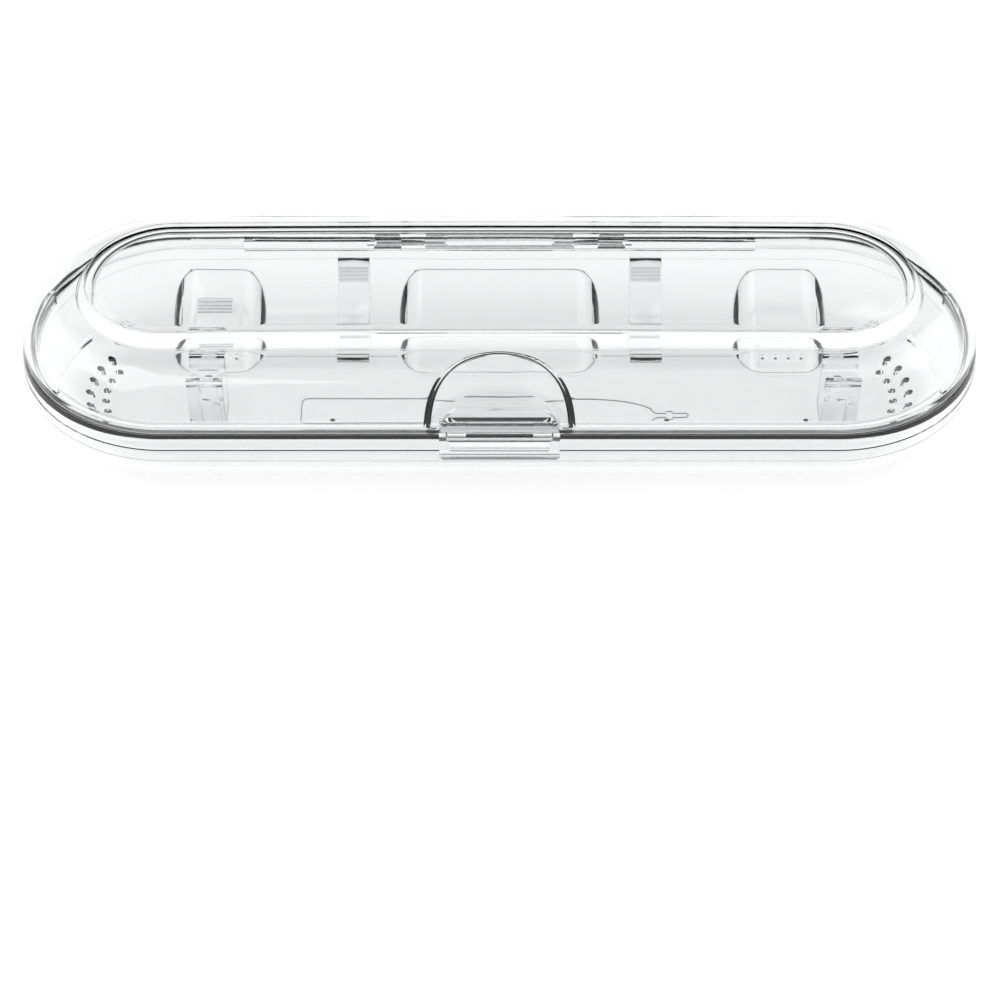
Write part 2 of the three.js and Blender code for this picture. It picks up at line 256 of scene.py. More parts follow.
class Sock:
    """A shader socket that can be used in expressions."""

    def __init__(self, tree, socket):
        self.tree = tree
        self.socket = socket

    def _math(self, operation, other):
        return self.node(self.tree, "ShaderNodeMath", {"operation": operation}, {0: self, 1: other})

    def __add__(self, other):
        return self._math("ADD", other)

    __radd__ = __add__

    def __mul__(self, other):
        return self._math("MULTIPLY", other)

    __rmul__ = __mul__

    @classmethod
    def node(cls, tree, kind, settings=None, values=None, out=0):
        """Adds a node, applies its settings and then the values or links of its sockets."""
        made = tree.nodes.new(kind)
        for key, value in (settings or {}).items():
            if key == "stops":
                ramp = made.color_ramp
                while len(ramp.elements) < len(value):
                    ramp.elements.new(1.0)
                for element, (place, colour) in zip(ramp.elements, value):
                    element.position = place
                    element.color = colour
            else:
                setattr(made, key, value)
        for key, value in (values or {}).items():
            if isinstance(value, Sock):
                tree.links.new(value.socket, made.inputs[key])
            else:
                made.inputs[key].default_value = value
        return cls(tree, made.outputs[out]) if made.outputs else None



def material(name, build, **constants):
    """A Principled material: build returns what varies, constants are set on the shader's own sockets."""
    made = bpy.data.materials.new(name)
    made.use_nodes = True
    tree = made.node_tree
    tree.nodes.clear()
    place = Sock.node(tree, "ShaderNodeTexCoord", out="Object")
    values = {key.replace("_", " "): value for key, value in constants.items()}
    values.update(build(tree, place))
    shader = Sock.node(tree, "ShaderNodeBsdfPrincipled", {}, values)
    Sock.node(tree, "ShaderNodeOutputMaterial", {}, {"Surface": shader})
    return made


def grain(tree, place, scale, detail=2.0, stretch=(1, 1, 1)):
    """Noise over the object's own millimetres, drawn out along the axes by stretch."""
    moved = Sock.node(tree, "ShaderNodeMapping", {}, {"Vector": place, "Scale": stretch})
    return Sock.node(
        tree, "ShaderNodeTexNoise", {},
        {"Vector": moved, "Scale": scale, "Detail": detail, "Roughness": 0.55},
    )


def clear_plastic(name, tint, roughness, ripple, haze):
    """Polished clear plastic: faint moulding ripple, fine handling haze and a hint of tint drift."""

    def build(tree, place):
        flow = grain(tree, place, 45.0, 1.0, (1, 2.2, 2.2))
        dust = grain(tree, place, 900.0, 3.0)
        scuffs = grain(tree, place, 260.0, 4.0, (0.25, 2.5, 2.5))
        patches = Sock.node(
            tree, "ShaderNodeValToRGB",
            {"stops": [(0.56, (0, 0, 0, 1)), (0.74, (1, 1, 1, 1))]}, {"Fac": scuffs},
        )
        bump = Sock.node(
            tree, "ShaderNodeBump", {},
            {"Height": flow * ripple + dust * 0.02, "Strength": 0.25, "Distance": 0.0002},
        )
        paler = tuple(min(1.0, c * 1.008) for c in tint) + (1,)
        colour = Sock.node(
            tree, "ShaderNodeMix", {"data_type": "RGBA"},
            {"Factor": flow, "A": tuple(tint) + (1,), "B": paler}, out=2,
        )
        return {"Base Color": colour, "Roughness": patches * haze + roughness, "Normal": bump}

    return material(name, build, Transmission_Weight=1.0, IOR=1.53, Specular_IOR_Level=0.5)


def drawn_steel(name, tint):
    """Wire drawn through a die: fine lines along the pin."""

    def build(tree, place):
        lines = grain(tree, place, 1400.0, 3.0, (0.02, 1, 1))
        tone = Sock.node(
            tree, "ShaderNodeMix", {"data_type": "RGBA"},
            {"Factor": lines, "A": tuple(c * 0.8 for c in tint) + (1,), "B": tuple(tint) + (1,)}, out=2,
        )
        bump = Sock.node(tree, "ShaderNodeBump", {}, {"Height": lines, "Strength": 0.15, "Distance": 0.00005})
        return {"Base Color": tone, "Roughness": lines * 0.1 + 0.07, "Normal": bump}

    return material(name, build, Metallic=1.0)


def lit_floor(name, tint, glow):
    """Matt white sheet of a light table, with a barely visible tooth."""

    def build(tree, place):
        tooth = grain(tree, place, 600.0, 4.0)
        tone = Sock.node(
            tree, "ShaderNodeMix", {"data_type": "RGBA"},
            {"Factor": tooth, "A": tuple(c * 0.995 for c in tint) + (1,), "B": tuple(tint) + (1,)}, out=2,
        )
        return {"Base Color": tone, "Roughness": tooth * 0.05 + 0.85}

    return material(name, build, Specular_IOR_Level=0.1, Emission_Color=(1, 1, 1, 1), Emission_Strength=glow)


# ---- mesh building ---------------------------------------------------------------------------


def arc(centre, radii, start, end, steps):
    """Points of an ellipse arc, angles in degrees from the first axis."""
    turns = [math.radians(start + (end - start) * i / steps) for i in range(steps + 1)]
    return [(centre[0] + radii[0] * math.cos(t), centre[1] + radii[1] * math.sin(t)) for t in turns]


def rounded_steps(start, corner, end, steps=4):
    """A round corner between two points of a section."""
    a, c, b = Vector(start), Vector(corner), Vector(end)
    shares = [k / steps for k in range(steps + 1)]
    return [tuple(a * (1 - t) ** 2 + c * 2 * t * (1 - t) + b * t * t) for t in shares]


def rounded(points, radius, steps=4, keep=()):
    """The outline with its corners rounded, apart from the ones whose indexes are in keep."""
    result = []
    count = len(points)
    for i, point in enumerate(points):
        here = Vector(point)
        before = Vector(points[i - 1]) - here
        after = Vector(points[(i + 1) % count]) - here
        short = before.length < 1e-6 or after.length < 1e-6
        if i in keep or short or before.angle(after) > NEARLY_STRAIGHT:
            result.append(tuple(here))
            continue
        half_turn = before.angle(after) / 2
        reach = min(radius / math.tan(half_turn), before.length * 0.49, after.length * 0.49)
        a = here + before.normalized() * reach
        b = here + after.normalized() * reach
        result += rounded_steps(a, here, b, steps)
    return result


def nick(middle, along, inward, width=0.3, depth=0.15):
    """A fine half-round line pressed into a section, as a mould parting leaves."""
    middle, along, inward = Vector(middle), Vector(along), Vector(inward)
    return [
        tuple(middle - along * width / 2 * math.cos(t) + inward * depth * math.sin(t))
        for t in (math.pi * k / 6 for k in range(7))
    ]


def mesh_object(name, verts, faces):
    """A linked object from millimetre vertices, closed and facing outwards."""
    mesh = bpy.data.meshes.new(name)
    mesh.from_pydata([tuple(c * MM for c in v) for v in verts], [], faces)
    work = bmesh.new()
    work.from_mesh(mesh)
    bmesh.ops.remove_doubles(work, verts=work.verts, dist=1e-7)
    bmesh.ops.dissolve_degenerate(work, edges=work.edges, dist=1e-8)
    bmesh.ops.recalc_face_normals(work, faces=work.faces)
    if work.calc_volume(signed=True) < 0:
        bmesh.ops.reverse_faces(work, faces=work.faces)
    work.to_mesh(mesh)
    work.free()
    made = bpy.data.objects.new(name, mesh)
    bpy.context.scene.collection.objects.link(made)
    return made


def stadium(section, steps, straight_steps=24, reshape=None):
    """The stadium solid swept by a half-section [(radius, z)] that starts and ends on the middle line."""
    columns = []
    half = steps // 2
    for side in (1, -1):
        for i in range(half + 1):
            turn = math.radians(-90 + 180 * i / half)
            columns.append((side * HALF_STRAIGHT, side * math.cos(turn), side * math.sin(turn)))
        for i in range(1, straight_steps):
            x = side * HALF_STRAIGHT * (1 - 2 * i / straight_steps)
            columns.append((x, 0.0, side * 1.0))
    rows = len(section)
    verts = []
    for centre, nx, ny in columns:
        for radius, z in section:
            point = (centre + radius * nx, radius * ny, z)
            verts.append(reshape(*point) if reshape else point)
    faces = []
    for i in range(len(columns)):
        a, b = i * rows, ((i + 1) % len(columns)) * rows
        for k in range(rows - 1):
            faces.append((a + k, b + k, b + k + 1, a + k + 1))
    return mesh_object("stadium", verts, faces)


def prism(outline, start, end, u, v, w, origin=(0, 0, 0)):
    """An outline in the u, v plane drawn out along w."""
    u, v, w, origin = Vector(u), Vector(v), Vector(w), Vector(origin)
    count = len(outline)
    verts = [origin + u * a + v * b + w * start for a, b in outline]
    verts += [origin + u * a + v * b + w * end for a, b in outline]
    faces = [tuple(range(count)), tuple(range(count, 2 * count))]
    faces += [(i, (i + 1) % count, count + (i + 1) % count, count + i) for i in range(count)]
    return mesh_object("prism", verts, faces)


def along_x(outline, x0, x1):
    """A [y, z] outline drawn out along x."""
    return prism(outline, x0, x1, (0, 1, 0), (0, 0, 1), (1, 0, 0))


def tube(points, radius, sides=12):
    """A capped round bead along a path."""
    verts = []
    for i, point in enumerate(points):
        ahead = Vector(points[min(i + 1, len(points) - 1)]) - Vector(points[max(i - 1, 0)])
        side = ahead.cross((0, 0, 1)).normalized()
        lift = side.cross(ahead).normalized()
        rim = arc((0, 0), (radius, radius), 0, 360, sides)[:-1]
        verts += [Vector(point) + side * a + lift * b for a, b in rim]
    last = len(verts) - sides
    faces = [tuple(range(sides)), tuple(range(last, last + sides))]
    for i in range(0, last, sides):
        faces += [
            (i + k, i + (k + 1) % sides, i + sides + (k + 1) % sides, i + sides + k) for k in range(sides)
        ]
    return mesh_object("tube", verts, faces)


def block(x0, x1, y0, y1, z0, z1):
    return along_x([(y0, z0), (y1, z0), (y1, z1), (y0, z1)], x0, x1)


def rod(radius, centre, axis, start, end, sides=48):
    """A cylinder along any axis through centre."""
    axis = Vector(axis).normalized()
    u = axis.orthogonal().normalized()
    rim = arc((0, 0), (radius, radius), 0, 360 - 360 / sides, sides - 1)
    return prism(rim, start, end, u, axis.cross(u), axis, centre)


def joined(objects):
    """Several separate solids as one mesh object."""
    first = objects[0]
    work = bmesh.new()
    for piece in objects:
        work.from_mesh(piece.data)
    work.to_mesh(first.data)
    work.free()
    for piece in objects[1:]:
        discard(piece)
    return first


def discard(piece):
    mesh = piece.data
    bpy.data.objects.remove(piece)
    bpy.data.meshes.remove(mesh)


def combine(target, tool, operation):
    """A boolean of two closed solids; the tool is used up."""
    modifier = target.modifiers.new("combine", "BOOLEAN")
    modifier.operation = operation
    modifier.solver = "MANIFOLD"
    modifier.object = tool
    apply_modifiers(target)
    discard(tool)
    return target


def cut(target, *tools):
    for tool in tools:
        combine(target, tool, "DIFFERENCE")
    return target


def add(target, *tools):
    for tool in tools:
        combine(target, tool, "UNION")
    return target


def keep_inside(target, tool):
    return combine(target, tool, "INTERSECT")


def apply_modifiers(piece):
    bpy.context.view_layer.update()
    evaluated = piece.evaluated_get(bpy.context.evaluated_depsgraph_get())
    fresh = bpy.data.meshes.new_from_object(evaluated)
    stale = piece.data
    piece.modifiers.clear()
    piece.data = fresh
    bpy.data.meshes.remove(stale)


def soften(piece, width, segments=3, angle=38):
    """Rounds the moulded edges of a small piece."""
    bevel = piece.modifiers.new("round", "BEVEL")
    bevel.width = width
    bevel.segments = segments
    bevel.limit_method = "ANGLE"
    bevel.angle_limit = math.radians(angle)
    bevel.use_clamp_overlap = True
    apply_modifiers(piece)


def dress(piece, name, body, nodes, finish, sharp=32):
    """Names a finished piece, shades it, and ties it to its body, nodes and material slot."""
    piece.name = name
    piece.data.name = name
    work = bmesh.new()
    work.from_mesh(piece.data)
    bmesh.ops.remove_doubles(work, verts=work.verts, dist=2e-6)
    bmesh.ops.dissolve_degenerate(work, edges=work.edges, dist=1e-6)
    for face in work.faces:
        face.smooth = True
    for edge in work.edges:
        edge.smooth = len(edge.link_faces) == 2 and edge.calc_face_angle(0) < math.radians(sharp)
    work.to_mesh(piece.data)
    work.free()
    piece.data.materials.clear()
    piece.data.materials.append(finish)
    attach(piece, body)
    if nodes:
        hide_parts(*nodes)


# ---- shared shapes of the case ----------------------------------------------------------------


def dish_cutter(x, half_width, inset):
    """Everything outside one dished flat of the tray: a round-flanked prism lying along its slope."""
    run = (Vector(DISH_HIGH) - Vector(DISH_LOW)).normalized()
    out = (run.y, -run.x)
    depth = 12.0
    reach, rise = DISH_FLANK[0] - inset, DISH_FLANK[1] - inset
    outline = [
        (half_width + reach, depth), (-half_width - reach, depth),
        *arc((-half_width, DISH_FLANK[1]), (reach, rise), 180, 270, 14),
        *arc((half_width, DISH_FLANK[1]), (reach, rise), 270, 360, 14),
    ]
    return prism(outline, -15, 45, (1, 0, 0), (0, *out), (0, *run), (x, *DISH_LOW))


def dish_slope():
    return (DISH_HIGH[1] - DISH_LOW[1]) / (DISH_HIGH[0] - DISH_LOW[0])


def vent_drills():
    """Drills for the two staggered rows of vents at each end."""
    drills = []
    for side in (-1, 1):
        for ring, first, count in ((VENT_RINGS[0], -3.0, 7), (VENT_RINGS[1], -2.5, 6)):
            for i in range(count):
                turn = (first + i) * VENT_STEP
                place = (side * (HALF_STRAIGHT + ring * math.cos(turn)), -ring * math.sin(turn), 0)
                drills.append(rod(VENT_R, place, (0, 0, 1), -1, 12, 24))
    return drills


def pinhole_drills():
    """Drills for the pinholes in the two end dishes."""
    slope = dish_slope()
    axis = Vector((0, slope, -1)).normalized()
    drills = []
    for x, _ in (DISHES[0], DISHES[2]):
        for y, count in PINHOLE_ROWS:
            for i in range(count):
                across = x + (i - (count - 1) / 2) * PINHOLE_PITCH
                place = (across, y, DISH_LOW[1] + slope * (y - DISH_LOW[0]))
                drills.append(rod(PINHOLE_R, place, axis, -3, 3, 12))
    return drills


def hinge_drills():
    return [
        rod(HINGE_PIN_R + GAP, (0, HINGE.y, HINGE.z), (1, 0, 0), *sorted((s * 12.5, s * 31.7)), sides=24)
        for s in (-1, 1)
    ]


def hinge_barrels(spans, web):
    """Knuckles of one half of the hinge, each a barrel with a web to its wall."""
    pieces = []
    for x0, x1 in spans:
        barrel = rod(BARREL_R, (0, HINGE.y, HINGE.z), (1, 0, 0), x0, x1, 32)
        pieces.append(add(along_x(web, x0, x1), barrel))
    return pieces


# ---- operators ---------------------------------------------------------------------------------


def sizes(context):
    return context.scene.case_sizes


def finishes(context):
    return context.scene.case_finishes


def shared_plastic(name, tint, roughness, ripple, haze):
    """The named plastic, made the first time it is asked for."""
    return bpy.data.materials.get(name) or clear_plastic(name, tint, roughness, ripple, haze)


def shell_material(context):
    style = finishes(context)
    return shared_plastic("clear_shell_plastic", tuple(style.shell_tint), style.gloss, 1.0, 0.05)


def insert_material(context):
    style = finishes(context)
    tint = tuple(style.insert_tint)
    return shared_plastic("clear_insert_plastic", tint, style.gloss + 0.05, 0.6, 0.1)


def pad_material():
    return shared_plastic("ribbed_pad_plastic", PAD_TINT, 0.12, 0.4, 0.15)


# dark grey plastic for the toothbrush outline and for the beads of painted shade
def dark_line_material():
    return shared_plastic("dark_line_plastic", DARK_LINE_TINT, 0.3, 0.3, 0.2)


class CASE_OT_stage(bpy.types.Operator):
    """Make the camera, the studio floor, the soft lights and the surroundings"""

    bl_idname = "toothbrush_case.stage"
    bl_label = "Studio Stage"

    def execute(self, context):
        scene = context.scene
        scene.view_settings.view_transform = "Standard"
        scene.view_settings.look = "None"
        camera = bpy.data.cameras.new("studio_camera")
        camera.lens = CAMERA_LENS
        camera.sensor_width = 36
        camera.clip_end = 20
        holder = bpy.data.objects.new("studio_camera", camera)
        holder.location = CAMERA_PLACE
        holder.rotation_euler = (math.radians(90 - CAMERA_DOWN), 0, 0)
        scene.collection.objects.link(holder)
        scene.camera = holder
        self.make_floor(context)
        self.make_lights(scene)
        self.make_world(scene)
        return {"FINISHED"}

    def make_floor(self, context):
        sides = FLOOR_SIDES
        rim = arc((0, 0), (FLOOR_R_MM, FLOOR_R_MM), 0, 360 - 360 / sides, sides - 1)
        verts = [(x, y, z) for z in (-6.0, -0.05) for x, y in rim]
        faces = [tuple(range(sides - 1, -1, -1)), tuple(range(sides, 2 * sides))]
        faces += [(i, (i + 1) % sides, sides + (i + 1) % sides, sides + i) for i in range(sides)]
        floor = mesh_object("studio_floor", verts, faces)
        style = finishes(context)
        floor.data.materials.append(lit_floor("light_table", tuple(style.floor_tint), style.floor_glow))

    def make_lights(self, scene):
        for name, place, size, power in SOFTBOXES:
            light = bpy.data.lights.new(name, "AREA")
            light.size = size
            light.energy = power
            holder = bpy.data.objects.new(name, light)
            holder.location = place
            holder.rotation_euler = (-Vector(place)).to_track_quat("-Z", "Y").to_euler()
            scene.collection.objects.link(holder)

    def make_world(self, scene):
        world = bpy.data.worlds.new("studio_surroundings")
        world.use_nodes = True
        tree = world.node_tree
        tree.nodes.clear()
        direction = Sock.node(tree, "ShaderNodeTexCoord", out="Generated")
        toward = Sock.node(
            tree, "ShaderNodeVectorMath", {"operation": "DOT_PRODUCT"},
            {0: direction, 1: FLAG_DIRECTION}, out="Value",
        )
        edge, core = (math.cos(math.radians(angle)) for angle in FLAG_ANGLES)
        around = Sock.node(
            tree, "ShaderNodeValToRGB",
            {"stops": [(edge, (1, 1, 1, 1)), (core, (0, 0, 0, 1))]}, {"Fac": toward},
        )
        background = Sock.node(tree, "ShaderNodeBackground", {}, {"Color": around, "Strength": 1.0})
        Sock.node(tree, "ShaderNodeOutputWorld", {}, {"Surface": background})
        scene.world = world


class CASE_OT_tray(bpy.types.Operator):
    """Mould the lower shell with its band, dishes, vents, catch ridge and hinge knuckles"""

    bl_idname = "toothbrush_case.tray"
    bl_label = "Base Tray"

    def execute(self, context):
        size = sizes(context)
        wall, steps = size.wall / MM, size.turn_steps
        outside = stadium([
            (0, 0), (5, 0), (10, 0),
            *arc((FLOOR_R, RIM_Z), (RIM_R - FLOOR_R, RIM_Z), -90, -12, 24),
            *nick((34.63, 15), (0.15, 0.99), (-0.99, 0.15), 0.2, 0.06),
            *arc((FLOOR_R, RIM_Z), (RIM_R - FLOOR_R, RIM_Z), -10, -1.5, 3),
            *nick((RIM_R - 0.01, RIM_Z + 0.1), (0, 1), (-1, 0), 0.38, 0.28),
            (34.93, RIM_Z + 0.6), (34.78, RIM_Z + 1.8),
            (BAND_TOP_R + 0.05, SEAM_Z - 0.4), (BAND_TOP_R - 0.05, SEAM_Z - 0.12),
            (BAND_TOP_R - 0.25, SEAM_Z),
            (25, SEAM_Z), (12, SEAM_Z), (0, SEAM_Z),
        ], steps)
        inside = stadium([
            (0, wall), (5, wall), (10, wall),
            *arc((FLOOR_R, RIM_Z), (TRAY_IN_R - FLOOR_R, RIM_Z - wall), -90, 0, 26),
            (TRAY_IN_TOP_R, LIP_Z), (TRAY_LEAD_IN_R, SEAM_Z),
            (TRAY_LEAD_IN_R, SEAM_Z + 1), (20, SEAM_Z + 1), (0, SEAM_Z + 1),
        ], steps)
        for x, half_width in DISHES:
            cut(outside, dish_cutter(x, half_width, wall))
            cut(inside, dish_cutter(x, half_width, 0))
        self.edge_shade_lines(inside, context)
        cut(inside, block(-HINGE_RAIL_X, HINGE_RAIL_X, 31.9, 40, HINGE_RAIL_Z, 30))
        tray = cut(outside, inside)
        for x0, x1 in LID_KNUCKLES:
            room = rod(BARREL_R + 0.35, (0, HINGE.y, HINGE.z), (1, 0, 0), x0 - GAP, x1 + GAP, 32)
            cut(tray, room, block(x0 - GAP, x1 + GAP, 33, 38, HINGE.z, 24))
        web = rounded(TRAY_WEB, 0.3, 3, (0, 5))
        add(tray, *hinge_barrels(TRAY_KNUCKLES, web))
        ridge = rounded(CATCH_RIDGE, 0.25, 3, (0, 3))
        add(tray, along_x(ridge, -CATCH_HALF_W, CATCH_HALF_W))
        drains = [rod(DRAIN_R, (s * x, DRAIN_Y, 0), (0, 0, 1), -1, 3, 16) for x in DRAIN_X for s in (-1, 1)]
        cut(tray, joined(vent_drills() + drains + pinhole_drills()), *hinge_drills())
        dress(tray, "clear_base_tray", "tray", ["base_tray"], shell_material(context))
        return {"FINISHED"}

    def on_dish_edge(self, edge):
        """Whether an edge is a crease of the dishes, behind the middle and below the band."""
        ends = edge.verts
        return (
            edge.calc_face_angle(0) > DISH_EDGE_ANGLE
            and min(end.co.y for end in ends) > 8 * MM
            and max(end.co.z for end in ends) < SEAM_Z * MM - 5 * MM
            and abs(ends[0].co.y - FLOOR_R * MM) > 0.7 * MM
        )

    def edge_shade_lines(self, inside, context):
        """Fine dark beads of painted shade along the crisp edges where the dished flats meet the bowl of the
        tray.
        """
        work = bmesh.new()
        work.from_mesh(inside.data)
        spare = [edge for edge in work.edges if not self.on_dish_edge(edge)]
        bmesh.ops.delete(work, geom=spare, context="EDGES")
        bmesh.ops.delete(work, geom=list(work.faces), context="FACES_ONLY")
        bmesh.ops.remove_doubles(work, verts=work.verts, dist=2e-5)
        mesh = bpy.data.meshes.new("dish_edges")
        work.to_mesh(mesh)
        work.free()
        lines = bpy.data.objects.new("dish_edges", mesh)
        context.scene.collection.objects.link(lines)
        for other in context.view_layer.objects:
            other.select_set(other == lines)
        context.view_layer.objects.active = lines
        bpy.ops.object.convert(target="CURVE")
        lines.data.bevel_depth = sizes(context).mark_width * 0.4
        lines.data.bevel_resolution = 2
        lines.data.use_fill_caps = True
        bpy.ops.object.convert(target="MESH")
        # straight dark beads of painted shade on the floor between the dishes
        bead = sizes(context).mark_width / MM * 0.4
        ring = arc(FLOOR_SHADE_LINE, (bead, bead), 0, 330, 11)
        runs = [along_x(ring, *sorted(s * x for x in FLOOR_SHADE_LINE_X)) for s in (-1, 1)]
        dress(joined([lines, *runs]), "dish_edge_shade_lines", "tray", [], dark_line_material())


class CASE_OT_lid(bpy.types.Operator):
    """Mould the lid with its crowned top, thumb scoop, locating lip, clasp lugs and hinge knuckles"""

    bl_idname = "toothbrush_case.lid"
    bl_label = "Lid Shell"

    def crown(self, foot):
        """Lifts what is above foot into the long crown of the raised top."""
        half = HALF_STRAIGHT + TOP_R
        rise = TOP_MID_Z - TOP_END_Z

        def lift(x, y, z):
            share = min(1.0, max(0.0, (z - foot) / (TOP_END_Z - LEDGE_Z)))
            return x, y, z + share * rise * (1 - min(1.0, abs(x) / half) ** 2)

        return lift

    def execute(self, context):
        size = sizes(context)
        wall, steps = size.wall / MM, size.turn_steps
        outside = stadium([
            (0, LID_Z), (15, LID_Z), (28, LID_Z), (LID_R - 0.25, LID_Z), (LID_R - 0.06, LID_Z + 0.08),
            *arc((LEDGE_R, LID_Z + 0.2), (LID_R - LEDGE_R, LEDGE_Z - LID_Z - 0.2), 0, 86, 22),
            *nick((LEDGE_R + 0.35, LEDGE_Z), (-1, 0), (0, -1), 0.34, 0.22),
            *rounded_steps(
                (LEDGE_R + 0.2, LEDGE_Z), (LEDGE_R, LEDGE_Z + 0.1), (LEDGE_R - 0.12, LEDGE_Z + 0.45),
            ),
            (LEDGE_R - 0.5, LEDGE_Z + 1.2), (LEDGE_R - 1.0, LEDGE_Z + 2.2),
            (TOP_R + 0.15, TOP_END_Z - 0.3), (TOP_R + 0.05, TOP_END_Z - 0.05),
            *nick((TOP_R - 0.2, TOP_END_Z - 0.02), (-1, 0), (0, -1)),
            (15, TOP_END_Z), (10, TOP_END_Z), (5, TOP_END_Z), (0, TOP_END_Z),
        ], steps, 36, self.crown(LEDGE_Z))
        in_r = LID_R - wall
        under = LEDGE_Z - wall
        roof = TOP_END_Z - wall
        inside = stadium([
            (0, LID_Z - 2), (20, LID_Z - 2), (in_r, LID_Z - 2),
            *arc((LEDGE_R, LID_Z), (in_r - LEDGE_R, under - LID_Z), 0, 90, 22),
            *rounded_steps((LEDGE_R - 0.2, under + 0.05), (TOP_R - 1.2, roof), (15.4, roof), 12),
            (9, roof), (5, roof), (0, roof),
        ], steps, 36, self.crown(under))
        scoop_floor = LID_Z + wall
        scoop = rod(SCOOP_R, (0, SCOOP_Y, 0), (0, 0, 1), scoop_floor, 60, 160)
        skin = rod(SCOOP_R + wall, (0, SCOOP_Y, 0), (0, 0, 1), 0, 60, 160)
        lid = cut(outside, scoop, cut(inside, skin))
        add(lid, self.lip(steps), self.ribs(under, steps), self.scoop_rim(scoop_floor))
        web = rounded(LID_WEB, 0.3, 3, (0, 3, 4))
        add(lid, *hinge_barrels(LID_KNUCKLES, web))
        lug = rounded(CLASP_LUG, 0.4, 3, (0, 1))
        for side in (-1, 1):
            x0, x1 = sorted(side * x for x in LUG_X)
            eye = rod(CHEEK_R - 0.1, (0, CLASP_AXIS.y, CLASP_AXIS.z), (1, 0, 0), x0, x1, 40)
            add(lid, add(along_x(lug, x0, x1), eye))
        bore = rod(CLASP_PIN_R + GAP, (0, CLASP_AXIS.y, CLASP_AXIS.z), (1, 0, 0), -20, 20, 32)
        cut(lid, bore, *hinge_drills())
        dress(lid, "clear_lid_shell", "lid", ["lid_shell"], shell_material(context))
        return {"FINISHED"}

    def scoop_rim(self, scoop_floor):
        """The rolled rim where the thumb scoop breaks out through the dome."""
        reach, rise = LID_R - LEDGE_R, LEDGE_Z - LID_Z - 0.2
        path = []
        for i in range(97):
            turn = math.radians(-77 + 154 * i / 96)
            x, y = SCOOP_R * math.sin(turn), SCOOP_Y + SCOOP_R * math.cos(turn)
            dome = rise * math.sqrt(max(0.0, 1 - ((-y - LEDGE_R) / reach) ** 2))
            path.append((x, y, LID_Z + 0.2 + dome - 0.15))
        foot_y = path[0][1]
        path = [(-SCOOP_FOOT_X, foot_y, scoop_floor), *path, (SCOOP_FOOT_X, foot_y, scoop_floor)]
        return tube(path, SCOOP_RIM_R)

    def lip(self, steps):
        """The locating lip that drops inside the tray's band, stopping short of the hinge."""
        ring = stadium([
            (0, LIP_Z), (LIP_R - 0.2, LIP_Z), (LIP_R, LIP_Z + 0.3), (LIP_R, LID_Z + 0.1), (0, LID_Z + 0.1),
        ], steps)
        shelf = stadium([(0, LID_Z), (LIP_R + 1, LID_Z), (LIP_R + 1, LID_Z + 1.2), (0, LID_Z + 1.2)], steps)
        inner = LIP_R - LIP_THICK
        hollow = stadium([(0, LIP_Z - 1), (inner, LIP_Z - 1), (inner, LID_Z + 3), (0, LID_Z + 3)], steps)
        return cut(add(ring, shelf), hollow, block(-120, 120, LIP_BACK_Y, 60, 0, 60))

    def ribs(self, under, steps):
        """Two shallow flow ribs under each end dome, leaning towards the front."""
        in_r = LID_R - RIB_INSET
        thick = RIB_THICK

        def dome(radius, height):
            return stadium([
                (0, LID_Z + 1.5), (radius, LID_Z + 1.5),
                *arc((LEDGE_R, LID_Z), (radius - LEDGE_R, height - LID_Z), 7, 88, 16), (0, height),
            ], steps)

        band = cut(dome(in_r + 0.3, under + 0.3), dome(in_r - thick, under - thick))
        lean = math.radians(RIB_LEAN)
        bars = []
        for side in (-1, 1):
            along = (side * math.cos(lean), -math.sin(lean), 0)
            across = (math.sin(lean) * side, math.cos(lean), 0)
            bars.append(prism(
                [(22, 0), (34, 0), (34, 50), (22, 50)], -RIB_HALF_W, RIB_HALF_W, along, (0, 0, 1), across,
                (side * HALF_STRAIGHT, 0, 0),
            ))
        return keep_inside(band, joined(bars))


class CASE_OT_clasp(bpy.types.Operator):
    """Mould the rocking clasp: hook, window, cheeks and thumb tab"""

    bl_idname = "toothbrush_case.clasp"
    bl_label = "Front Clasp"

    def execute(self, context):
        plate = along_x(rounded(CLASP_SECTION, 0.2, 4), -CLASP_HALF_W, CLASP_HALF_W)
        corner = 5.5
        across = CLASP_HALF_W - corner
        front = [
            (-CLASP_HALF_W, 17), (CLASP_HALF_W, 17),
            *arc((across, 31.1 - corner), (corner, corner), 0, 90, 20),
            *arc((-across, 31.1 - corner), (corner, corner), 90, 180, 20),
        ]
        outline = prism(front, 25, 45, (1, 0, 0), (0, 0, 1), (0, -1, 0))
        window_shape = rounded([
            (-CHEEK_IN_X, 23.7), (CHEEK_IN_X, 23.7), (CHEEK_IN_X, 28.9), (-CHEEK_IN_X, 28.9),
        ], 0.9, 6)
        window = prism(window_shape, 30, 45, (1, 0, 0), (0, 0, 1), (0, -1, 0))
        clasp = cut(keep_inside(plate, outline), window)
        for side in (-1, 1):
            x0, x1 = sorted((side * CHEEK_IN_X, side * CLASP_HALF_W))
            add(clasp, rod(CHEEK_R, (0, CLASP_AXIS.y, CLASP_AXIS.z), (1, 0, 0), x0, x1, 48))
        cut(clasp, rod(CLASP_PIN_R + GAP, (0, CLASP_AXIS.y, CLASP_AXIS.z), (1, 0, 0), -20, 20, 32))
        soften(clasp, 0.15 * MM, 3, 48)
        # a dark bead paints the shade along the clasp's bottom edge
        toe = tube(TOE_SHADE_LINE, TOE_SHADE_LINE_R)
        dress(toe, "clasp_toe_shade_line", "clasp", [], dark_line_material())
        dress(clasp, "clear_front_clasp", "clasp", ["front_clasp"], insert_material(context))
        return {"FINISHED"}


